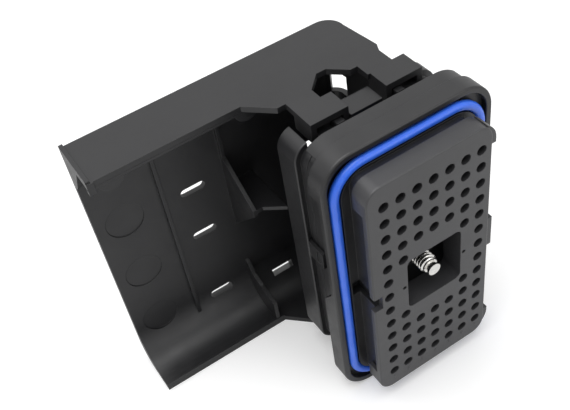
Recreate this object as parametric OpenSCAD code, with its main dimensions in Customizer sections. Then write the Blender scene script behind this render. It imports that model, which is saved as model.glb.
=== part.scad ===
// Sealed rectangular multiway plug with a captive jackscrew, a rear wire seal and a
// right-angle cable cover. X runs across the columns, Y runs back from the mating face,
// Z runs up the rows. The origin is on the screw's axis, in the plane of the mating face.

/* [Contact grid] */
// Distance between neighbouring columns of contacts
column_pitch = 5.62; // [5.2:0.02:6.2]
// Distance between neighbouring rows of contacts
row_pitch = 6.35; // [6.0:0.05:7.0]
// Bore of a contact cavity in the index plate
cavity_d = 3.4; // [2.4:0.1:3.6]
// Bore of a contact cavity through the housing
contact_bore_d = 3.2; // [2.4:0.1:3.4]

/* [Index plate] */
// Thickness of the plate that carries the contact tips
plate_t = 2.0; // [1.4:0.1:2.6]
// Plate edge beyond the outer columns on the keyed side
plate_edge_left = 5.5; // [5.2:0.1:6.0]
// Plate edge beyond the outer columns on the lug side
plate_edge_right = 3.9; // [3.4:0.1:4.4]
// Plate edge beyond the first and last rows
plate_edge_end = 7.9; // [7.4:0.1:8.6]
// Corner radius of the plate
plate_corner_r = 5; // [3:0.5:6]
// How far the plate's skirt reaches back over the core
skirt_depth = 6.3; // [4:0.1:7]
// Wall of the plate's skirt
skirt_t = 1.3; // [1:0.1:1.8]
// How far the side lugs stand out of the plate's edge
lug_out = 2.0; // [1:0.1:2.4]
// Width of the screw pocket
pocket_w = 20; // [18:0.2:20.4]
// Height of the screw pocket
pocket_h = 21.4; // [20:0.2:21.6]
// Depth of the screw pocket's sleeve
pocket_depth = 8; // [5:0.5:10]
// Wall of the screw pocket's sleeve
sleeve_t = 0.8; // [0.6:0.1:0.9]

/* [Housing] */
// Core wall outside the outer columns, where the seal sits
core_side = 7.0; // [6.8:0.1:7.6]
// Core wall outside the first and last rows
core_end = 7.3; // [7:0.1:7.8]
// Width of the groove between the core and the hood at the sides
groove_side = 3.5; // [3.3:0.1:4.2]
// Width of the groove between the core and the hood at the ends
groove_end = 4.3; // [3.6:0.1:6]
// Wall of the hood
hood_t = 2.1; // [1.6:0.1:2.8]
// Depth of the hood's rim behind the mating face
hood_front = 10; // [9.4:0.2:12]
// Length of the hood along the mating direction
hood_depth = 6.4; // [5.6:0.2:8]
// Outer corner radius of the hood
hood_corner_r = 10.5; // [9:0.5:12]
// Wall of the housing round the wire seal
rear_wall_t = 1.9; // [1.4:0.1:2.2]
// Thickness of the bulkhead that carries the screw
bulkhead_t = 4; // [3:0.5:5]
// Depth of the screw tunnel in front of the bulkhead
tunnel_depth = 14; // [13:0.5:15]

/* [Seals] */
// Thickness of the blue face seal's round section
seal_d = 3; // [2.6:0.1:3.2]
// Thickness of the wire seal
wire_seal_t = 6; // [4:0.5:7]
// Hole for one wire in the wire seal
wire_hole_d = 1.9; // [1.4:0.1:2.4]

/* [Rear retainer] */
// Thickness of the retainer's holed plate
retainer_t = 3.2; // [2.6:0.2:3.4]
// Wall of the retainer's side bands
frame_t = 2; // [1.6:0.1:2.6]
// Depth of the retainer's side bands
frame_depth = 9.2; // [8:0.2:9.6]
// Hole for one wire in the retainer
retainer_hole_d = 3.0; // [2.4:0.1:3.4]

/* [Jackscrew] */
// Thread and shank diameter
screw_d = 6; // [5:0.5:6]
// Pilot point diameter
pilot_d = 4.3; // [3:0.1:4.6]
// Length of the pilot point with its neck
pilot_len = 1.9; // [1:0.1:2.4]
// Size of the hexagon head across its flats
head_af = 10; // [8:0.5:11]
// Height of the hexagon head
head_h = 4.5; // [3:0.5:6]
// Size of the hexagon socket across its flats
socket_af = 5; // [4:0.5:6]
// Thickness of the retaining clip
clip_t = 1; // [0.6:0.1:1.2]
// Thickness of the washer
washer_t = 1.2; // [0.8:0.1:1.6]

/* [Cable cover] */
// Wall of the cable cover
cover_wall = 2; // [1.6:0.1:2.6]
// Inner face of the back wall, measured from the mating face
cover_depth = 66; // [62:1:72]
// Length of the cover from the screw's axis to its open end
cover_reach = 78.5; // [70:0.5:90]
// Place of the cover's end wall, measured from the screw's axis
cover_end_x = 15; // [14.6:0.1:16]
// Front edge of the cable channel
channel_front = 48.7; // [46:0.1:52]
// Height of the cover's top wall above the screw's axis
cover_top = 49.2; // [48.8:0.1:50]
// Outer radius of the fold between the back and bottom walls
fold_outer_r = 9; // [6:0.5:12]
// Inner radius of the fold between the back and bottom walls
fold_inner_r = 13; // [10:0.5:15]
// Length of a cable-tie slot
tie_slot_l = 9; // [7:0.2:11]
// Height of a cable-tie slot
tie_slot_h = 3.2; // [2.4:0.1:3.8]
// Bore of the driver hole in the back wall
driver_hole_d = 14; // [12:0.5:16]

/* [Hidden] */
$fn = 48;
small_fn = 24;

// clearances and small offsets
fit_gap = 0.2;       // between parts that are pushed together
seal_gap = 0.1;      // between a seal and its seat
run_gap = 0.05;      // radial clearance of the turning screw
float_gap = 0.3;     // axial play of the captive screw
past = 1;            // how far a cut runs past a face

// the grid
columns = 7;
rows = 13;
grid_half_w = (columns - 1) / 2 * column_pitch;
grid_half_h = (rows - 1) / 2 * row_pitch;
index_hole_d = 1.3;

// core, groove and hood
core_half_w = grid_half_w + core_side;
core_half_h = grid_half_h + core_end;
core_r = 8.5;
plate_mid_x = (plate_edge_right - plate_edge_left) / 2;
plate_half_w = grid_half_w + (plate_edge_left + plate_edge_right) / 2;
plate_half_h = grid_half_h + plate_edge_end;
edge_r = 0.5;        // rounding of a moulded outer edge
nose_inset = skirt_t + fit_gap;
skirt_arm = 9.6;     // how far the skirt runs round a corner, from the end
nose_front = plate_t + fit_gap;
nose_back = hood_front - 0.6;
hood_half_w = core_half_w + groove_side + hood_t;
hood_half_h = core_half_h + groove_end + hood_t;
hood_back = hood_front + hood_depth;
pad_len = 5.4;       // how far the corner pads stand behind the hood
pad_band = [-3.4, -0.6];     // heights of a corner pad, from the hood's end
flange_t = 2;        // depth of the hood between the side recess and its rim
web_front = hood_back - 4.2;
web_thin = 1.7;      // thickness of the web beside the recess
recess_z = [-9, 38.5];       // ends of the recess behind the hood's side
rest_z = -hood_half_h;
key_slot = [3, 5.5];         // depth and width of the key slot
key_z = -0.4;

// rear skirt of the housing, wire seal and retainer
bulkhead_back = tunnel_depth + bulkhead_t;
seal_front = bulkhead_back + fit_gap;
seal_back = seal_front + wire_seal_t;
skirt_back = seal_back + fit_gap / 2;
rear_half_w = grid_half_w + 7.7;
rear_half_h = grid_half_h + 6.3;
rear_r = 6.5;
inner_half_w = rear_half_w - rear_wall_t;
inner_half_h = rear_half_h - rear_wall_t;
inner_r = rear_r - rear_wall_t;
retainer_front = skirt_back + fit_gap;
retainer_back = retainer_front + retainer_t;
shoulder_t = 1.4;    // step that joins the bands to the holed plate
frame_front = retainer_back;
frame_end = frame_front + frame_depth;
frame_half_w = rear_half_w + 1.8;
frame_half_h = rear_half_h + 0.6;
frame_r = 6;
snap_z = 4;
snap_h = 4;
snap_t = 1.3;        // thickness of a snap arm
snap_arm = 7.4;      // length of a snap arm in front of the bands

// screw
bore_r = screw_d / 2 + run_gap;
tube_r = screw_d / 2 + 3.2;
tube_back = retainer_back + 6;
ring_d = 1.5;
ring_seat_r = bore_r + ring_d + seal_gap / 2;
ring_seat_depth = ring_d + seal_gap;
groove_front = tunnel_depth - clip_t - float_gap - 0.1;
groove_back = tunnel_depth - float_gap + 0.1;
groove_r = screw_d / 2 - 0.7;
clip_reach = 2.7;    // how far the clip stands out of the screw's groove
washer_front = tube_back + float_gap;
washer_r = screw_d;
head_front = washer_front + washer_t;
head_back = head_front + head_h;
tunnel_w = pocket_w + 2 * (sleeve_t + 0.15);
tunnel_h = pocket_h + 2 * (sleeve_t + 0.15);
pocket_r = 2;

// latches between the retainer and the cover
latch_x = 13;        // middle of a latch loop, from the screw's axis
latch_w = 12.8;      // width of a latch loop
latch_len = 8.6;     // length of a latch loop
latch_front = retainer_back + 0.8;
latch_back = latch_front + latch_len;
latch_side = 1.9;    // side wall of a loop
latch_wall = 1.6;    // lower wall of a loop
latch_roof = 2.1;    // upper wall of a loop
latch_low = rear_half_h - 1.8;
notch_low = latch_low - 1.2; // floor of the room for the loops
post_gap = 0.3;
post_w = 2.8;
post_len = 3.6;
post_top = rear_half_h + 2;
post_x = 10.4;       // middle of a post, from the screw's axis
tongue_w = 11;
tongue_x = -0.9;     // middle of the tongue
tongue_top = rear_half_h + 1.9;
tongue_t = 1.8;
tongue_len = 6.8;
ridge_r = 1.2;       // round ridge at the tongue's end
recess_half_w = latch_x + latch_w / 2 + 2.2;
band_notch = [3.9, 33];      // depth of the notch in one band's corner, and where it starts

// cable cover
cover_left = -cover_reach;
cover_back = cover_depth + cover_wall;
cover_bottom = rest_z;
end_x = cover_end_x;
end_flare = 1.5;
corner_r = 6;
throat_front = latch_back - 1;
throat_left = -(latch_x + latch_w / 2);
slot_x = -44.6;
slot_z = [12.2, -8.1, -39.3];
mark_x = -68.6;      // round ejector marks on the inside of the back wall
mark_z = [14, -10.5, -34.5];
mark_d = 13;
mark_depth = 0.3;
rib_x = -55.1;
rib_t = 1.3;
rib_h = 1.4;
fin_x = -32.3;       // web between the plug and the channel
fin_t = 1.4;
shelf_z = 6;         // underside of the level web
throat_x = throat_left - 10.4;  // where the channel's front edge turns in
throat_y = channel_front - 7.7;
window_w = 5.8;      // window in the back corner
window_h = 8;
window_z = 26.6;
window_shift = 1.2;  // how far the window sits off the corner's middle
fold_slot = [8.4, 2.6];
fold_slot_x = -20;
fold_slot_tilt = 25;

// ---- shared shapes ----

// a rectangle with round corners, as four squares and four true circles
module round_rect(half_w, half_h, r) {
    square([2 * half_w, 2 * (half_h - r)], center = true);
    square([2 * (half_w - r), 2 * half_h], center = true);
    for (sx = [-1, 1], sy = [-1, 1])
        translate([sx * (half_w - r), sy * (half_h - r)]) circle(r = r);
}

// sweeps a section round a rectangle with round corners. In the section, x runs outward from
// the outer surface and y is the depth behind the mating face
module swept(half_w, half_h, r) {
    rotate([-90, 0, 0]) for (turn = [0:3]) rotate(90 * turn) {
        out = turn % 2 == 0 ? half_w : half_h;
        along = turn % 2 == 0 ? half_h : half_w;
        translate([out, 0, 0]) rotate([90, 0, 0])
            linear_extrude(2 * (along - r), center = true) children();
        translate([out - r, along - r, 0])
            rotate_extrude(angle = 90) translate([r, 0]) children();
    }
}

// a wall's section with its front edges rounded
module wall_section(t, y0, y1, r_out, r_in) {
    translate([r_in - t, y0]) square([t - r_in - r_out, y1 - y0]);
    translate([-t, y0 + r_in]) square([r_in + 0.01, y1 - y0 - r_in]);
    translate([-r_out - 0.01, y0 + r_out]) square([r_out + 0.01, y1 - y0 - r_out]);
    translate([-r_out, y0 + r_out]) circle(r = r_out, $fn = small_fn);
    translate([r_in - t, y0 + r_in]) circle(r = r_in, $fn = small_fn);
}

// extrudes an outline in X and Z from one depth to another
module deep(y0, y1) {
    translate([0, y1, 0]) rotate([90, 0, 0]) linear_extrude(y1 - y0) children();
}

// extrudes an outline in Y and Z from one width to another
module wide(x0, x1) {
    translate([x0, 0, 0]) rotate([90, 0, 90]) linear_extrude(x1 - x0) children();
}

// extrudes an outline in X and Y from one height to another
module tall(z0, z1) {
    translate([0, 0, z0]) linear_extrude(z1 - z0) children();
}

// a round bar on the screw's axis
module turned(y0, y1, r) {
    translate([0, y1, 0]) rotate([90, 0, 0]) cylinder(h = y1 - y0, r = r);
}

// true where a contact stands: the middle of the grid is left free for the screw
function has_contact(c, r) =
    let (dc = abs(c - 3), dr = abs(r - 6))
    dr >= 3 || (dr == 2 && dc >= 2) || dc == 3;

module grid_holes(d) {
    for (c = [0:columns - 1], r = [0:rows - 1])
        if (has_contact(c, r))
            translate([(c - 3) * column_pitch, (6 - r) * row_pitch])
                circle(d = d, $fn = small_fn);
}

// the four places that a corner detail has
module each_corner() {
    for (mx = [0, 1], mz = [0, 1]) mirror([mx, 0, 0]) mirror([0, 0, mz]) children();
}

module each_end() {
    for (mz = [0, 1]) mirror([0, 0, mz]) children();
}

// ---- housing ----

// the hood's wall, swept round the core, and the web that carries it
module hood() {
    swept(hood_half_w, hood_half_h, hood_corner_r)
        wall_section(hood_t, hood_front, hood_back, 0.6, 0.4);
    deep(web_front, hood_back) round_rect(hood_half_w - hood_t + 0.1, hood_half_h - hood_t + 0.1,
                                          hood_corner_r - hood_t);
}

// a stiffening pad behind each of the hood's corners, following the hood's outer surface
module corner_pads() {
    intersection() {
        swept(hood_half_w - 0.6, hood_half_h - 0.6, hood_corner_r)
            translate([-hood_corner_r / 2, hood_back - 0.1])
                square([hood_corner_r / 2, pad_len + 0.1]);
        each_corner() translate([0, hood_back - past, hood_half_h + pad_band[0]])
            cube([hood_half_w, hood_half_w, pad_band[1] - pad_band[0]]);
    }
}

// the recess behind the hood's side, which leaves the rim as a thin flange with a sloped back
module side_recess() {
    out = hood_half_w + past;
    in = hood_half_w - hood_t - 1.2;
    front = hood_front + flange_t;
    web_back = web_front + web_thin;
    slope = web_back - front;
    intersection() {
        tall(recess_z[0] - 20, recess_z[1] + past)
            polygon([[-out, front], [-hood_half_w, front], [-hood_half_w + slope, web_back],
                     [-in, web_back], [-in, hood_back + past], [-out, hood_back + past]]);
        wide(-out - past, past)
            polygon([[front - past, recess_z[1] + 0.5], [hood_back + 2 * past, recess_z[1]],
                     [hood_back + 2 * past, recess_z[0]], [front - past, recess_z[0] + 9]]);
    }
}

module key_groove(y0, y1) {
    half_w = grid_half_w + plate_edge_left;
    translate([-half_w - past, y0, key_z - key_slot[1] / 2])
        cube([key_slot[0] + past, y1 - y0, key_slot[1]]);
}

module plug_housing() {
    color([0.10, 0.10, 0.105]) difference() {
        union() {
            deep(nose_front, nose_back + 0.1) plate_outline(-nose_inset);
            deep(nose_back, web_front + 0.1) round_rect(core_half_w, core_half_h, core_r);
            hood();
            corner_pads();
            difference() {
                deep(hood_back - 0.1, skirt_back) round_rect(rear_half_w, rear_half_h, rear_r);
                deep(bulkhead_back, skirt_back + past) round_rect(inner_half_w, inner_half_h, inner_r);
            }
            turned(bulkhead_back - 0.1, tube_back, tube_r);
            for (side = [-1, 1])
                translate([side * rear_half_w - snap_t, frame_front - snap_arm + 1.6, snap_z - snap_h / 2])
                    cube([2 * snap_t, 1.5, snap_h]);
        }
        deep(nose_front - past, tunnel_depth)
            round_rect(tunnel_w / 2, tunnel_h / 2, pocket_r + sleeve_t + 0.15);
        deep(nose_front - past, bulkhead_back + past) grid_holes(contact_bore_d);
        turned(tunnel_depth - past, tube_back + past, bore_r);
        turned(tube_back - ring_seat_depth, tube_back + past, ring_seat_r);
        key_groove(nose_front - past, web_front);
        for (mx = [0, 1]) mirror([mx, 0, 0]) side_recess();
    }
}

// ---- index plate ----

module plate_outline(grow) {
    translate([plate_mid_x, 0])
        round_rect(plate_half_w + grow, plate_half_h + grow, plate_corner_r + grow);
}

// the lugs on the right side: one at each corner and one in the middle
module side_lugs() {
    right = grid_half_w + plate_edge_right;
    end = grid_half_h + plate_edge_end;
    corner_w = 9;
    corner_h = 8.6;
    corner_round = 7;
    mid_h = 12;
    mid_z = 1;
    for (s = [0, 1]) mirror([0, s]) translate([right - corner_w, 0]) intersection() {
        round_rect(corner_w + lug_out, end, corner_round);
        translate([0, end - corner_h]) square([2 * corner_w, corner_h]);
    }
    translate([right - 1, mid_z - mid_h / 2]) square([lug_out + 1, mid_h]);
}

module index_plate() {
    end = grid_half_h + plate_edge_end;
    color([0.13, 0.13, 0.135]) difference() {
        union() {
            deep(0, plate_t) plate_outline(-skirt_t / 2);
            // rim and skirt, with the skirt left standing over both ends and round the corners
            difference() {
                translate([plate_mid_x, 0, 0]) swept(plate_half_w, plate_half_h, plate_corner_r)
                    wall_section(skirt_t, 0, skirt_depth, edge_r, 0.1);
                translate([-end, plate_t, -end + skirt_arm])
                    cube([2 * end, skirt_depth, 2 * (end - skirt_arm)]);
            }
            deep(0.8, skirt_depth) difference() {
                side_lugs();
                translate([-end, -end])
                    square([end + grid_half_w + plate_edge_right - skirt_t, 2 * end]);
            }
            deep(plate_t - 0.1, pocket_depth)
                round_rect(pocket_w / 2 + sleeve_t, pocket_h / 2 + sleeve_t, pocket_r + sleeve_t);
        }
        deep(-past, pocket_depth + past) round_rect(pocket_w / 2, pocket_h / 2, pocket_r);
        deep(-past, skirt_depth) grid_holes(cavity_d);
        for (side = [-1, 1])
            translate([side * 2 * column_pitch, 0, 0]) turned(-past, plate_t + past, index_hole_d / 2);
        key_groove(-past, skirt_depth);
    }
}

// ---- seals ----

module interface_seal() {
    off = seal_gap + seal_d / 2;
    color([0.10, 0.30, 0.85]) swept(core_half_w + off, core_half_h + off, core_r + off)
        translate([0, web_front - off]) circle(d = seal_d, $fn = small_fn);
}

module wire_seal() {
    color([0.12, 0.30, 0.62]) difference() {
        deep(seal_front, seal_back)
            round_rect(inner_half_w - seal_gap, inner_half_h - seal_gap, inner_r - seal_gap);
        deep(seal_front - past, seal_back + past) grid_holes(wire_hole_d);
        turned(seal_front - past, seal_back + past, tube_r + seal_gap);
    }
}

module screw_seal() {
    color([0.55, 0.20, 0.08]) translate([0, tube_back - seal_gap - ring_d / 2, 0])
        rotate([90, 0, 0]) rotate_extrude()
            translate([bore_r + ring_d / 2, 0]) circle(d = ring_d, $fn = small_fn);
}

// ---- rear retainer ----

// the tongue between two latch loops, with a round ridge at its back end and a web that carries
// it, over a notch in the plate
module tongue() {
    y0 = retainer_back + 0.1;
    y1 = y0 + tongue_len;
    web_y = retainer_back + shoulder_t + 0.6;
    web_low = notch_low - 2.2;
    translate([tongue_x - tongue_w / 2, y0, tongue_top - tongue_t]) cube([tongue_w, y1 - y0, tongue_t]);
    translate([tongue_x - tongue_w / 2, y1, tongue_top - ridge_r]) rotate([0, 90, 0])
        cylinder(h = tongue_w, r = ridge_r, $fn = small_fn);
    translate([tongue_x - tongue_w / 2 + 1.5, web_y, web_low])
        cube([tongue_w - 3, 1.8, tongue_top - tongue_t - web_low + 0.1]);
    translate([tongue_x - tongue_w / 2 + 1.5, retainer_back, web_low])
        cube([tongue_w - 3, web_y - retainer_back + 0.1, notch_low - web_low]);
}

// an upright with an arm that the loop of the cover slides over
module latch_post(side) {
    low = latch_low + latch_wall + post_gap;
    x0 = side * post_x - post_w / 2;
    translate([x0, retainer_back - 0.8, notch_low]) cube([post_w, 1.3, post_top - notch_low]);
    translate([x0, retainer_back, low]) cube([post_w, post_len, post_top - low]);
}

// an arm that reaches forward over the housing's nub, with a window for it
module snap_arm_piece(side) {
    arm_h = snap_h + 2.4;
    x0 = rear_half_w + fit_gap;
    mirror([side < 0 ? 1 : 0, 0, 0]) difference() {
        translate([x0, frame_front - snap_arm, snap_z - arm_h / 2])
            cube([snap_t, snap_arm + 0.5, arm_h]);
        translate([x0 - past, frame_front - snap_arm + 1.4, snap_z - snap_h / 2 - 0.2])
            cube([snap_t + 2 * past, 1.9, snap_h + 0.4]);
    }
}

module seal_retainer() {
    color([0.11, 0.11, 0.115]) difference() {
        union() {
            difference() {
                union() {
                    swept(frame_half_w, frame_half_h, frame_r)
                        wall_section(frame_t, frame_front, frame_end, edge_r, 0.1);
                    deep(retainer_front, retainer_back + 0.1) round_rect(rear_half_w, rear_half_h, rear_r);
                    deep(retainer_back, retainer_back + shoulder_t)
                        round_rect(frame_half_w - 1, frame_half_h - 1, frame_r - 1);
                }
                // room for the latch loops, and a notch under the tongue, at both ends
                each_end() {
                    translate([-recess_half_w, retainer_back, notch_low])
                        cube([2 * recess_half_w, frame_depth + past, frame_half_h]);
                    translate([tongue_x - tongue_w / 2, retainer_front - past, notch_low])
                        cube([tongue_w, frame_depth, frame_half_h]);
                }
                // one band's upper corner starts further back
                translate([recess_half_w - past, frame_front + 0.1, band_notch[1]])
                    cube([frame_half_w, band_notch[0], frame_half_h]);
            }
            each_end() {
                tongue();
                for (side = [-1, 1]) latch_post(side);
            }
            for (side = [-1, 1]) snap_arm_piece(side);
        }
        deep(retainer_front - past, retainer_back + shoulder_t + past) grid_holes(retainer_hole_d);
        turned(retainer_front - past, retainer_back + shoulder_t + past, tube_r + fit_gap);
    }
}

// ---- screw set ----

module jackscrew() {
    neck_r = pilot_d / 2 - 0.35;
    color([0.78, 0.78, 0.80]) difference() {
        union() {
            turned(0, pilot_len * 0.4, pilot_d / 2);
            turned(pilot_len * 0.4 - 0.1, pilot_len + 0.1, neck_r);
            turned(pilot_len, groove_front, screw_d / 2);
            turned(groove_front - 0.1, groove_back + 0.1, groove_r);
            turned(groove_back, head_front + 0.1, screw_d / 2);
            translate([0, head_back, 0]) rotate([90, 0, 0])
                cylinder(h = head_h, r = head_af / 2 / cos(30), $fn = 6);
        }
        translate([0, head_back + past, 0]) rotate([90, 0, 0])
            cylinder(h = head_h * 0.6 + past, r = socket_af / 2 / cos(30), $fn = 6);
    }
}

// an E-shaped clip pushed into the screw's groove from one side
module retaining_clip() {
    y0 = tunnel_depth - float_gap - clip_t;
    clip_r = groove_r + clip_reach;
    color([0.45, 0.42, 0.36]) difference() {
        turned(y0, y0 + clip_t, clip_r);
        turned(y0 - past, y0 + clip_t + past, groove_r + run_gap);
        translate([-groove_r, y0 - past, 0]) cube([2 * groove_r, clip_t + 2 * past, clip_r + past]);
        for (side = [-1, 1])
            translate([side * groove_r * 1.25, y0 + clip_t + past, -groove_r * 1.05])
                rotate([90, 0, 0]) cylinder(h = clip_t + 2 * past, r = clip_reach / 3, $fn = small_fn);
    }
}

module screw_washer() {
    color([0.70, 0.70, 0.72]) difference() {
        turned(washer_front, washer_front + washer_t - 0.05, washer_r);
        turned(washer_front - past, head_front + past, screw_d / 2 + 0.2);
    }
}

// ---- cable cover ----

// the outline of the cover seen from above, with its end wall shifted inwards by a wall
module cover_plan(wall, front, left) {
    x = end_x - wall;
    r = corner_r - wall;
    cx = end_x - corner_r;
    cy = cover_back - corner_r;
    polygon([[left, front[0]], [front[2], front[0]], [front[3], front[1]], [throat_left, front[1]],
             [throat_left, throat_front], [x + 0.2, throat_front], [x + 0.2, channel_front - 5.5],
             [x + end_flare, channel_front - 2.7], [x, cy - 1], [x, cy], [cx, cy],
             [cx, cover_back - wall], [left, cover_back - wall]]);
    translate([cx, cy]) circle(r = r);
}

// what is hollow inside the cover, open at the front and at the cable end
module cover_hollow_plan() {
    x = end_x - cover_wall;
    cx = end_x - corner_r;
    cy = cover_back - corner_r;
    polygon([[cover_left - past, 0], [x + 0.2, 0], [x + 0.2, channel_front - 5.5],
             [x + end_flare, channel_front - 2.7], [x, cy - 1], [x, cy], [cx, cy],
             [cx, cover_depth], [cover_left - past, cover_depth]]);
    translate([cx, cy]) circle(r = corner_r - cover_wall);
}

// side view of the cover: square at the top, folded round at the bottom of the back wall
module cover_side(back, bottom, top, r) {
    polygon([[0, bottom], [back - r, bottom], [back - r, bottom + r], [back, bottom + r],
             [back, top], [0, top]]);
    translate([back - r, bottom + r]) circle(r = r);
}

// the notch between the latch loops, with its corners cut at 45 degrees
module finger_notch() {
    mid = -latch_x + latch_w / 2;
    left = mid - 3.7;
    right = -mid - 0.8;
    low = latch_back - 0.2;
    high = low + 9.6;
    cut = 5.2;
    step = 2.4;
    polygon([[mid, 0], [right, 0], [right, high - cut], [right - step, high - cut],
             [right - step - cut, high], [left + cut, high], [left, high - cut], [left, low],
             [mid, low]]);
}

// a loop under the cover's wall that slides over the retainer's post
module latch_loop(side, top) {
    x0 = side * latch_x - latch_w / 2;
    translate([x0, 0, 0]) difference() {
        translate([0, latch_front, latch_low]) cube([latch_w, latch_back - latch_front, top - latch_low]);
        translate([latch_side, latch_front - past, latch_low + latch_wall])
            cube([latch_w - 2 * latch_side, latch_back - latch_front + 2 * past,
                  top - latch_low - latch_wall - latch_roof]);
    }
}

module tie_slot(x, z) {
    r = tie_slot_h / 2;
    translate([x, cover_back + past, z]) rotate([90, 0, 0]) linear_extrude(cover_wall + 2 * past) {
        square([tie_slot_l - tie_slot_h, tie_slot_h], center = true);
        for (s = [-1, 1]) translate([s * (tie_slot_l / 2 - r), 0]) circle(r = r, $fn = small_fn);
    }
}

// webs between the plug and the channel: an upright web with its free edge cut back at 45
// degrees above and below a level web, and full depth again towards the bottom wall
module guide_webs() {
    back = cover_depth + 0.1;
    low_rib = cover_depth - 1.5;
    front = channel_front + 0.2;
    reach = low_rib - front;
    tip = [shelf_z - 1, shelf_z + fin_t];
    foot = cover_bottom + fold_inner_r - 0.4;
    wide(fin_x - fin_t / 2, fin_x + fin_t / 2) {
        polygon([[back, cover_top - 1], [low_rib, cover_top - 1], [low_rib, tip[1] + reach * 0.8],
                 [front, tip[1]], [front, tip[0]], [low_rib, tip[0] - reach], [back, tip[0] - reach - 1.5]]);
        polygon([[back, foot + 8], [low_rib, foot + 7], [low_rib - 2.5, foot + 3], [low_rib - 7.2, foot + 1],
                 [front, foot - 1], [front, cover_bottom + 0.5],
                 [back - fold_outer_r, cover_bottom + 0.5], [back, cover_bottom + fold_outer_r]]);
    }
    tall(shelf_z, shelf_z + fin_t)
        polygon([[fin_x, back], [fin_x, front], [throat_x + 0.4, front], [throat_left - 3.6, throat_y + 3],
                 [throat_left - 3.6, back]]);
}

// the open end: a gusset in the top corner and a raised bead along the edge
module open_end() {
    wide(cover_left, cover_left + 1.5)
        polygon([[cover_depth - 10, cover_top - 1], [cover_depth + 0.1, cover_top - 1],
                 [cover_depth + 0.1, cover_top - 15], [cover_depth - 2, cover_top - 13]]);
    translate([cover_left, channel_front, cover_top - 0.1]) cube([1.3, cover_back - channel_front, 0.9]);
    translate([cover_left, channel_front - 0.4, cover_top - 4]) cube([2.2, 1.8, 4]);
}

// half-round stops that hang from the top wall's front edge
module edge_tabs() {
    for (x = [-71.5, -28]) translate([x, channel_front + 1.6, cover_top - cover_wall + 0.1])
        rotate([90, 0, 0]) intersection() {
            cylinder(h = 1.4, r = 4.2);
            translate([-5, -5, -1]) cube([10, 5, 4]);
        }
}

module cable_cover() {
    front = [channel_front, throat_y, throat_x, throat_left - 2.8];
    color([0.09, 0.09, 0.095]) difference() {
        union() {
            difference() {
                intersection() {
                    tall(cover_bottom, cover_top) cover_plan(0, front, cover_left);
                    wide(cover_left - past, end_x + 10)
                        cover_side(cover_back, cover_bottom, cover_top, fold_outer_r);
                }
                intersection() {
                    tall(cover_bottom + cover_wall, cover_top - cover_wall) cover_hollow_plan();
                    wide(cover_left - 2 * past, end_x + 10)
                        cover_side(cover_depth, cover_bottom + cover_wall, cover_top - cover_wall,
                                   fold_inner_r);
                }
            }
            for (side = [-1, 1]) {
                latch_loop(side, cover_top);
                mirror([0, 0, 1]) latch_loop(side, -cover_bottom);
            }
            translate([rib_x - rib_t / 2, cover_depth - rib_h, cover_bottom + fold_inner_r - 4])
                cube([rib_t, rib_h + 0.1, cover_top - cover_bottom - fold_inner_r + 3]);
            guide_webs();
            open_end();
            edge_tabs();
        }
        tall(cover_bottom - past, cover_top + past) finger_notch();
        for (z = slot_z) tie_slot(slot_x, z);
        for (z = mark_z) translate([mark_x, 0, z])
            turned(cover_depth - past, cover_depth + mark_depth, mark_d / 2);
        turned(cover_depth - past, cover_back + past, driver_hole_d / 2);
        // square slot through the fold, and a window in the back corner
        translate([fold_slot_x, cover_back - fold_outer_r * 0.27, cover_bottom + fold_outer_r * 0.8])
            rotate([-fold_slot_tilt, 0, 0])
                cube([fold_slot[0], 1.5 * fold_outer_r, fold_slot[1]], center = true);
        translate([end_x - corner_r / 3 + window_shift, cover_back - corner_r / 3 - window_shift, window_z])
            rotate([0, 0, -45]) cube([window_w, 1.5 * corner_r, window_h], center = true);
    }
}

plug_housing();
index_plate();
interface_seal();
wire_seal();
seal_retainer();
jackscrew();
retaining_clip();
screw_washer();
screw_seal();
cable_cover();
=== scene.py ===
# %% [markdown]
# # A sealed 70-way plug with its cable cover
#
# This lesson dresses a multiway plug: a black moulded core with a hood round it, a blue
# silicone seal lying in the hood, a jackscrew in a square pocket, and a long right-angle cover
# that leads the wires away to one side. The pieces arrive as a fixed frame in metres, so this
# script never moves or resizes them. It gives each one its finish, softens the edges that a
# mould would round, cuts the screw's thread, and adds the small mouldings.

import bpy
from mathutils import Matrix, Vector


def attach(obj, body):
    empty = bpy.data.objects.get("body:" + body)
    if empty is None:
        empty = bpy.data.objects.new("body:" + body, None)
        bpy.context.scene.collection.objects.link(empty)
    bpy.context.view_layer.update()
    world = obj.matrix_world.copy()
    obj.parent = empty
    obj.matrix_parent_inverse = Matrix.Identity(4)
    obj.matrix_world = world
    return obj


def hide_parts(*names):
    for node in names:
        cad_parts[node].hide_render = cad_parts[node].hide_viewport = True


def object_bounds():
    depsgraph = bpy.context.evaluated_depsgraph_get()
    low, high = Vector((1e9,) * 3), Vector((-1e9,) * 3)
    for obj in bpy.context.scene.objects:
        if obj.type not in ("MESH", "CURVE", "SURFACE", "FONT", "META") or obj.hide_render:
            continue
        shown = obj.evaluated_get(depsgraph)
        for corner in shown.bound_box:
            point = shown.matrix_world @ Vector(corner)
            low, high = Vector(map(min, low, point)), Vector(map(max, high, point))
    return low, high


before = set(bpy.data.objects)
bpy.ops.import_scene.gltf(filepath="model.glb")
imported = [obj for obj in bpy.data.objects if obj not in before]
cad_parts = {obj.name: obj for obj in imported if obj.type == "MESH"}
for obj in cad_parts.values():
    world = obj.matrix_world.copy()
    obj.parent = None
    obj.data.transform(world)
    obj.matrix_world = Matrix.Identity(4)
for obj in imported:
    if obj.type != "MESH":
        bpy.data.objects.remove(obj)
frame_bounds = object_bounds()
print("pieces in the frame:", ", ".join(sorted(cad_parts)))

# %% [markdown]
# The modelling needs Blender's Python, the mesh editor and a little vector maths. All sizes
# below are in metres, and `MM` keeps them readable.

# %% Tools and the unit
import math

import bmesh
import bpy
from mathutils import Matrix, Vector

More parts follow.
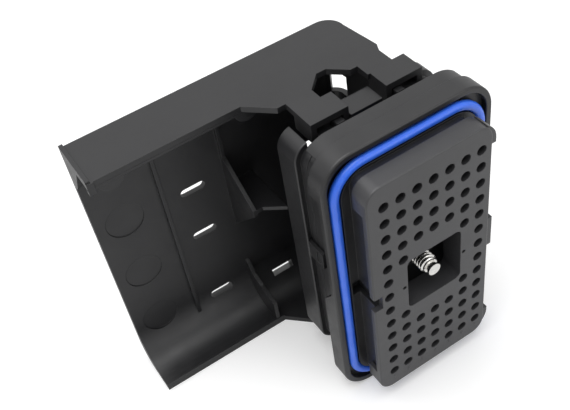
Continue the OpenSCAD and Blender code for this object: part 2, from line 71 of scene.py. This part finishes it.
MM = 0.001
scene = bpy.context.scene
low_corner, high_corner = Vector(frame_bounds[0]), Vector(frame_bounds[1])
size_mm = [round(v / MM, 1) for v in (high_corner - low_corner)]
print("the plug with its cover measures", size_mm, "mm")

# %% [markdown]
# ## The camera
#
# The plug is looked at from its front left, from above. A camera can be aimed with a constraint
# or by typing three angles. Here it is built from the azimuth, the elevation and the roll of
# the view, because those are the angles that describe a view in words.

# %% Place the camera
AZIMUTH = math.radians(-25.4)
ELEVATION = math.radians(45.36)
ROLL = math.radians(-10.49)
CAMERA_PLACE = Vector((-107.0, -131.1, 204.9)) * MM
LENS_MM, SENSOR_MM = 55.27, 36.0


def view_axes(azimuth, elevation, roll):
    """Right, up and back of a camera, as three unit vectors."""
    back = Vector((math.sin(azimuth) * math.cos(elevation),
                   -math.cos(azimuth) * math.cos(elevation),
                   math.sin(elevation)))
    right = Vector((0, 0, 1)).cross(back).normalized()
    up = back.cross(right)
    rolled_right = right * math.cos(roll) + up * math.sin(roll)
    rolled_up = up * math.cos(roll) - right * math.sin(roll)
    return rolled_right, rolled_up, back


right, up, back = view_axes(AZIMUTH, ELEVATION, ROLL)
camera_data = bpy.data.cameras.new("product_camera")
camera_data.lens = LENS_MM
camera_data.sensor_width = SENSOR_MM
camera_data.clip_start = 0.01
camera = bpy.data.objects.new("product_camera", camera_data)
camera.matrix_world = Matrix((right, up, back)).transposed().to_4x4()
camera.location = CAMERA_PLACE
scene.collection.objects.link(camera)
scene.camera = camera
print("the camera stands", round(CAMERA_PLACE.length / MM), "mm from the screw's tip")

# %% [markdown]
# ## The studio
#
# Black plastic shows almost nothing of its own colour. What makes it readable is what it
# reflects, so the room round it is as important as the lamps. A plain white room, with one wide
# soft lamp overhead and a weaker one in front, greys the top faces and leaves the hollows dark.

# %% Build the white room
ROOM_LIGHT = 0.42                # what the room sheds on dull surfaces
WHITE = (1.0, 1.0, 1.0, 1.0)


def studio_world():
    """A dim surround for dull surfaces, and full white for the camera and shiny ones."""
    world = bpy.data.worlds.new("white_room")
    scene.world = world
    world.use_nodes = True
    nodes, links = world.node_tree.nodes, world.node_tree.links
    surround = nodes["Background"]
    surround.inputs["Color"].default_value = WHITE
    surround.inputs["Strength"].default_value = ROOM_LIGHT
    seen = nodes.new("ShaderNodeBackground")
    seen.inputs["Color"].default_value = WHITE
    seen.inputs["Strength"].default_value = 1.0
    path = nodes.new("ShaderNodeLightPath")
    shiny = nodes.new("ShaderNodeMath")
    shiny.operation = "ADD"
    any_ray = nodes.new("ShaderNodeMath")
    any_ray.operation = "ADD"
    any_ray.use_clamp = True
    links.new(path.outputs["Is Glossy Ray"], shiny.inputs[0])
    links.new(path.outputs["Is Transmission Ray"], shiny.inputs[1])
    links.new(shiny.outputs[0], any_ray.inputs[0])
    links.new(path.outputs["Is Camera Ray"], any_ray.inputs[1])
    mix = nodes.new("ShaderNodeMixShader")
    links.new(any_ray.outputs[0], mix.inputs["Fac"])
    links.new(surround.outputs[0], mix.inputs[1])
    links.new(seen.outputs[0], mix.inputs[2])
    links.new(mix.outputs[0], nodes["World Output"].inputs["Surface"])


studio_world()
scene.view_settings.view_transform = "Standard"
print("view transform:", scene.view_settings.view_transform)

# %% Lay the floor
PAPER_GLOW = 0.25                # how much of its own light the paper shows the camera
FLOOR_HALF = 3.0                 # half the table's width, in metres
FLOOR_DROP = 0.05 * MM           # gap that keeps the table off the plug's lowest face


def table_paper():
    """White paper: it takes the soft shadow, and a little of its own light keeps it white."""
    paper = bpy.data.materials.new("table_paper")
    paper.use_nodes = True
    nodes, links = paper.node_tree.nodes, paper.node_tree.links
    nodes.clear()
    diffuse = nodes.new("ShaderNodeBsdfDiffuse")
    diffuse.inputs["Color"].default_value = (0.86, 0.86, 0.86, 1.0)
    glow = nodes.new("ShaderNodeEmission")
    path = nodes.new("ShaderNodeLightPath")
    lift = nodes.new("ShaderNodeMath")
    lift.operation = "MULTIPLY"
    lift.inputs[1].default_value = PAPER_GLOW
    both = nodes.new("ShaderNodeAddShader")
    out = nodes.new("ShaderNodeOutputMaterial")
    links.new(path.outputs["Is Camera Ray"], lift.inputs[0])
    links.new(lift.outputs[0], glow.inputs["Strength"])
    links.new(diffuse.outputs[0], both.inputs[0])
    links.new(glow.outputs[0], both.inputs[1])
    links.new(both.outputs[0], out.inputs["Surface"])
    return paper


floor_mesh = bpy.data.meshes.new("table")
floor_z = low_corner.z - FLOOR_DROP
signs = ((-1, -1), (1, -1), (1, 1), (-1, 1))
floor_mesh.from_pydata([(sx * FLOOR_HALF, sy * FLOOR_HALF, floor_z) for sx, sy in signs],
                       [], [(0, 1, 2, 3)])
floor = bpy.data.objects.new("table", floor_mesh)
scene.collection.objects.link(floor)
floor_mesh.materials.append(table_paper())
print("the table lies at z =", round(floor_z / MM, 2), "mm")

# %% Hang the lamps
def soft_lamp(name, place, target, width, power):
    """A square softbox that looks at a point."""
    data = bpy.data.lights.new(name, "AREA")
    data.shape = "SQUARE"
    data.size = width
    data.energy = power
    lamp = bpy.data.objects.new(name, data)
    lamp.location = place
    lamp.rotation_euler = (Vector(target) - Vector(place)).to_track_quat("-Z", "Y").to_euler()
    scene.collection.objects.link(lamp)


centre = (low_corner + high_corner) / 2
soft_lamp("overhead_softbox", centre + Vector((-0.12, 0.02, 0.75)), centre, 0.8, 6.6)
soft_lamp("front_fill", centre + Vector((0.35, -0.75, 0.30)), centre, 0.6, 1.5)
print("two soft lamps hang over the table")

# %% [markdown]
# ## Finishes
#
# Every finish here starts from the same three ideas: a colour that drifts very slightly, a
# roughness that drifts too, and a fine relief. Their scales tell the materials apart. A small
# set of helpers keeps each recipe short.

# %% Node helpers
def new_finish(name):
    """A material with its Principled shader ready, and the coordinates of the piece itself."""
    finish = bpy.data.materials.new(name)
    finish.use_nodes = True
    nodes = finish.node_tree.nodes
    shader = nodes["Principled BSDF"]
    place = nodes.new("ShaderNodeTexCoord")
    return finish, nodes, finish.node_tree.links, shader, place.outputs["Object"]


def grain(nodes, links, place, scale, detail=2.0, roughness=0.5):
    """Noise at a number of spots per metre."""
    noise = nodes.new("ShaderNodeTexNoise")
    noise.inputs["Scale"].default_value = scale
    noise.inputs["Detail"].default_value = detail
    noise.inputs["Roughness"].default_value = roughness
    links.new(place, noise.inputs["Vector"])
    return noise.outputs["Fac"]


def between(nodes, links, value, low, high, start=0.3, end=0.7):
    """Spreads a noise value over a range."""
    spread = nodes.new("ShaderNodeMapRange")
    spread.inputs["From Min"].default_value = start
    spread.inputs["From Max"].default_value = end
    spread.inputs["To Min"].default_value = low
    spread.inputs["To Max"].default_value = high
    links.new(value, spread.inputs["Value"])
    return spread.outputs["Result"]


def tint(nodes, links, value, dark, light):
    """Mixes two colours by a value."""
    mix = nodes.new("ShaderNodeMix")
    mix.data_type = "RGBA"
    mix.inputs["A"].default_value = (*dark, 1.0)
    mix.inputs["B"].default_value = (*light, 1.0)
    links.new(value, mix.inputs["Factor"])
    return mix.outputs["Result"]


def relief(nodes, links, height, distance, strength=1.0, under=None):
    """A bump of a real height in metres, on top of another one if there is one."""
    bump = nodes.new("ShaderNodeBump")
    bump.inputs["Distance"].default_value = distance
    bump.inputs["Strength"].default_value = strength
    links.new(height, bump.inputs["Height"])
    if under is not None:
        links.new(under, bump.inputs["Normal"])
    return bump.outputs["Normal"]


def soft_edges(nodes, radius):
    """A normal that looks as if every edge had a radius. The mesh keeps its sharp edges."""
    rounding = nodes.new("ShaderNodeBevel")
    rounding.samples = 4
    rounding.inputs["Radius"].default_value = radius
    return rounding.outputs["Normal"]


print("helpers ready: new_finish, grain, between, tint, relief, soft_edges")

# %% [markdown]
# ### Black moulded plastic
#
# The cover comes out of a spark-eroded mould, so its skin is a fine even grain. The core and
# its hood are glass-filled and a little smoother. One recipe serves both, with the grain's
# depth, the colour and the gloss as its settings.

# %% Recipe for the black mouldings
def moulded_black(name, dark, light, gloss_low, gloss_high, spark, spark_depth, flow_depth):
    """Moulded black plastic: fine spark grain over a slow flow of the melt."""
    finish, nodes, links, shader, place = new_finish(name)
    drift = grain(nodes, links, place, 38.0, 4.0, 0.6)
    links.new(tint(nodes, links, between(nodes, links, drift, 0.0, 1.0), dark, light),
              shader.inputs["Base Color"])
    wear = grain(nodes, links, place, 160.0, 5.0, 0.65)
    links.new(between(nodes, links, wear, gloss_low, gloss_high), shader.inputs["Roughness"])
    slow = relief(nodes, links, grain(nodes, links, place, 55.0, 2.0), flow_depth, 1.0,
                  soft_edges(nodes, 0.3 * MM))
    fine = relief(nodes, links, grain(nodes, links, place, spark, 1.0), spark_depth, 1.0, slow)
    links.new(fine, shader.inputs["Normal"])
    return finish


cover_plastic = moulded_black("cover_plastic", (0.007, 0.007, 0.008), (0.012, 0.012, 0.013),
                              0.38, 0.50, 3600.0, 0.012 * MM, 0.05 * MM)
housing_plastic = moulded_black("housing_plastic", (0.008, 0.008, 0.009), (0.014, 0.014, 0.015),
                                0.33, 0.43, 5200.0, 0.006 * MM, 0.03 * MM)
plate_plastic = moulded_black("plate_plastic", (0.030, 0.030, 0.032), (0.042, 0.042, 0.045),
                              0.32, 0.42, 5200.0, 0.006 * MM, 0.03 * MM)
print("black finishes:", cover_plastic.name, housing_plastic.name, plate_plastic.name)

# %% [markdown]
# ### Silicone
#
# The face seal is a saturated blue silicone. Silicone lets a little light in before it sends
# it back, and it has an oily sheen, so it needs some scattering below its skin and a thin coat.

# %% Recipe for the seals
def seal_silicone(name, dark, light):
    """Self-lubricating silicone: soft scatter, an oily coat and a faint dusting."""
    finish, nodes, links, shader, place = new_finish(name)
    drift = grain(nodes, links, place, 120.0, 4.0, 0.6)
    links.new(tint(nodes, links, between(nodes, links, drift, 0.0, 1.0), dark, light),
              shader.inputs["Base Color"])
    links.new(between(nodes, links, grain(nodes, links, place, 420.0, 3.0), 0.30, 0.44),
              shader.inputs["Roughness"])
    links.new(relief(nodes, links, grain(nodes, links, place, 900.0, 2.0), 0.01 * MM),
              shader.inputs["Normal"])
    shader.inputs["Subsurface Weight"].default_value = 0.12
    shader.inputs["Subsurface Radius"].default_value = (0.3 * MM, 0.5 * MM, 1.2 * MM)
    shader.inputs["Subsurface Scale"].default_value = 1.0
    shader.inputs["Coat Weight"].default_value = 0.25
    shader.inputs["Coat Roughness"].default_value = 0.25
    return finish


face_seal_blue = seal_silicone("face_seal_blue", (0.022, 0.135, 0.80), (0.040, 0.175, 0.90))
wire_seal_blue = seal_silicone("wire_seal_blue", (0.010, 0.060, 0.36), (0.018, 0.090, 0.46))
ring_seal_red = seal_silicone("ring_seal_red", (0.20, 0.045, 0.015), (0.28, 0.07, 0.025))
print("silicone finishes:", face_seal_blue.name, wire_seal_blue.name, ring_seal_red.name)

# %% [markdown]
# ### Steel
#
# The jackscrew is turned from bar and plated. Turning leaves rings round its axis, which the
# eye reads as brightness that runs across the screw. The rings are a wave along the axis.

# %% Recipe for the steel
def turned_steel(name, colour, rough_low, rough_high):
    """Plated steel with the marks of the lathe round the Y axis."""
    finish, nodes, links, shader, place = new_finish(name)
    shader.inputs["Metallic"].default_value = 1.0
    spots = grain(nodes, links, place, 700.0, 4.0)
    duller = tuple(c * 0.82 for c in colour)
    links.new(tint(nodes, links, between(nodes, links, spots, 0.0, 1.0), duller, colour),
              shader.inputs["Base Color"])
    links.new(between(nodes, links, grain(nodes, links, place, 1500.0, 3.0), rough_low, rough_high),
              shader.inputs["Roughness"])
    rings = nodes.new("ShaderNodeTexWave")
    rings.bands_direction = "Y"
    rings.inputs["Scale"].default_value = 2200.0
    rings.inputs["Distortion"].default_value = 1.5
    links.new(place, rings.inputs["Vector"])
    links.new(relief(nodes, links, rings.outputs["Fac"], 0.004 * MM), shader.inputs["Normal"])
    return finish


screw_steel = turned_steel("screw_steel", (0.80, 0.79, 0.76), 0.12, 0.26)
clip_steel = turned_steel("clip_steel", (0.22, 0.20, 0.18), 0.30, 0.48)
print("steel finishes:", screw_steel.name, clip_steel.name)

# %% Give the pieces their finishes
FINISH_OF = {
    "plug_housing": housing_plastic, "index_plate": plate_plastic, "seal_retainer": housing_plastic,
    "cable_cover": cover_plastic, "interface_seal": face_seal_blue, "wire_seal": wire_seal_blue,
    "screw_seal": ring_seal_red, "jackscrew": screw_steel, "screw_washer": screw_steel,
    "retaining_clip": clip_steel,
}
for node_name, finish in FINISH_OF.items():
    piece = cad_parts[node_name]
    piece.data.materials.clear()
    piece.data.materials.append(finish)
print(len(FINISH_OF), "pieces have a finish")

# %% [markdown]
# ## The screw's thread
#
# The solid carries only the thread's outer diameter. A thread can be a texture, a displaced
# cylinder or a real helix. Light runs along its crests in a way that only a helix gives, so the
# screw is copied, its threaded part is turned down to the root, and a ridge is wound round it.

# %% Cut the thread
PITCH = 1.0 * MM
CREST_R, ROOT_R = 3.0 * MM, 2.42 * MM
THREAD_FRONT, THREAD_BACK = 1.9 * MM, 12.6 * MM
STEPS = 40                       # sections to a turn
RUN_OUT = 0.5                    # turns over which the ridge grows at either end
FLANK, FLAT = 0.44, 0.08         # half widths of the ridge at its foot and top, in pitches
FOOT_R = ROOT_R - 0.1 * MM       # the foot is sunk, so that the ridge joins the core
NEAR = 0.05 * MM

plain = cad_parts["jackscrew"]
screw_mesh = plain.data.copy()
to_world, to_local = plain.matrix_world.copy(), plain.matrix_world.inverted()
for vertex in screw_mesh.vertices:
    point = to_world @ vertex.co
    radius = math.hypot(point.x, point.z)
    in_reach = THREAD_FRONT - 0.2 * MM < point.y < THREAD_BACK + 0.2 * MM
    if abs(radius - CREST_R) < NEAR and in_reach:
        point.x *= ROOT_R / radius
        point.z *= ROOT_R / radius
        vertex.co = to_local @ point

ridge = bmesh.new()
ridge.from_mesh(screw_mesh)
turns = (THREAD_BACK - THREAD_FRONT) / PITCH - 1.0
sections = []
total = int(turns * STEPS)
for step in range(total + 1):
    angle = 2 * math.pi * step / STEPS
    y = THREAD_FRONT + (0.5 + step / STEPS) * PITCH
    grow = min(1.0, step / (RUN_OUT * STEPS), (total - step) / (RUN_OUT * STEPS))
    crest = ROOT_R + (CREST_R - ROOT_R) * max(grow, 0.05)
    section = []
    for shift, radius in ((-FLANK, FOOT_R), (-FLAT, crest), (FLAT, crest), (FLANK, FOOT_R)):
        spot = Vector((radius * math.cos(angle), y + shift * PITCH, radius * math.sin(angle)))
        section.append(ridge.verts.new(to_local @ spot))
    sections.append(section)
for first, second in zip(sections, sections[1:]):
    for k in range(4):
        ridge.faces.new((first[k], first[(k + 1) % 4], second[(k + 1) % 4], second[k]))
ridge.faces.new(sections[0])
ridge.faces.new(list(reversed(sections[-1])))
bmesh.ops.recalc_face_normals(ridge, faces=ridge.faces)
ridge.to_mesh(screw_mesh)
ridge.free()
threaded = bpy.data.objects.new("threaded_jackscrew", screw_mesh)
threaded.matrix_world = to_world
scene.collection.objects.link(threaded)
screw_mesh.materials.clear()
screw_mesh.materials.append(screw_steel)
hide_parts("jackscrew")
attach(threaded, "screw_set")
print("the thread has", round(turns, 1), "turns")

# %% [markdown]
# ## Small mouldings
#
# The cover's front edges carry a thin lip, and each column of cavities has a small raised
# number below it.

# %% Add the lips of the channel
def new_piece(name, mesh, finish):
    """A dressed piece that stays with the connector."""
    piece = bpy.data.objects.new(name, mesh)
    scene.collection.objects.link(piece)
    mesh.materials.clear()
    mesh.materials.append(finish)
    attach(piece, "connector")
    return piece


def bar(body, x0, x1, y0, y1, z0, z1):
    """Adds a straight bar to a mesh, between two corners given in millimetres."""
    made = bmesh.ops.create_cube(body, size=1.0)["verts"]
    for vertex in made:
        vertex.co = Vector((x0 if vertex.co.x < 0 else x1, y0 if vertex.co.y < 0 else y1,
                            z0 if vertex.co.z < 0 else z1)) * MM


LIP = 1.0                        # height and depth of a lip, in millimetres
LIP_X, LIP_Y = (-78.5, -29.8), 48.7
lips = bmesh.new()
for low in (46.3, -49.9):
    bar(lips, *LIP_X, LIP_Y, LIP_Y + LIP, low, low + LIP)
lips_mesh = bpy.data.meshes.new("channel_lips")
lips.to_mesh(lips_mesh)
lips.free()
new_piece("channel_lips", lips_mesh, cover_plastic)
print("the channel has its lips")

# %% Raise the column numbers
COLUMN_PITCH, LAST_ROW = 5.62, -38.1
COLUMNS, MIDDLE_COLUMN = 7, 3
NUMBER_DROP = 4.4                # from the last row's middle to a number's foot
numbers = bmesh.new()
for column in range(COLUMNS):
    line = bpy.data.curves.new("column_number", "FONT")
    line.body = str(column + 1)
    line.size = 2.4 * MM
    line.extrude = 0.04 * MM
    line.align_x = "CENTER"
    label = bpy.data.objects.new("column_number", line)
    flat = label.to_mesh().copy()
    turn = Matrix.Rotation(math.radians(90), 4, "X")
    place = Vector(((column - MIDDLE_COLUMN) * COLUMN_PITCH, 0.0,
                    LAST_ROW - NUMBER_DROP)) * MM
    flat.transform(Matrix.Translation(place) @ turn)
    numbers.from_mesh(flat)
    label.to_mesh_clear()
    bpy.data.objects.remove(label)
numbers_mesh = bpy.data.meshes.new("column_numbers")
numbers.to_mesh(numbers_mesh)
numbers.free()
new_piece("column_numbers", numbers_mesh, plate_plastic)
print("seven column numbers stand on the plate")
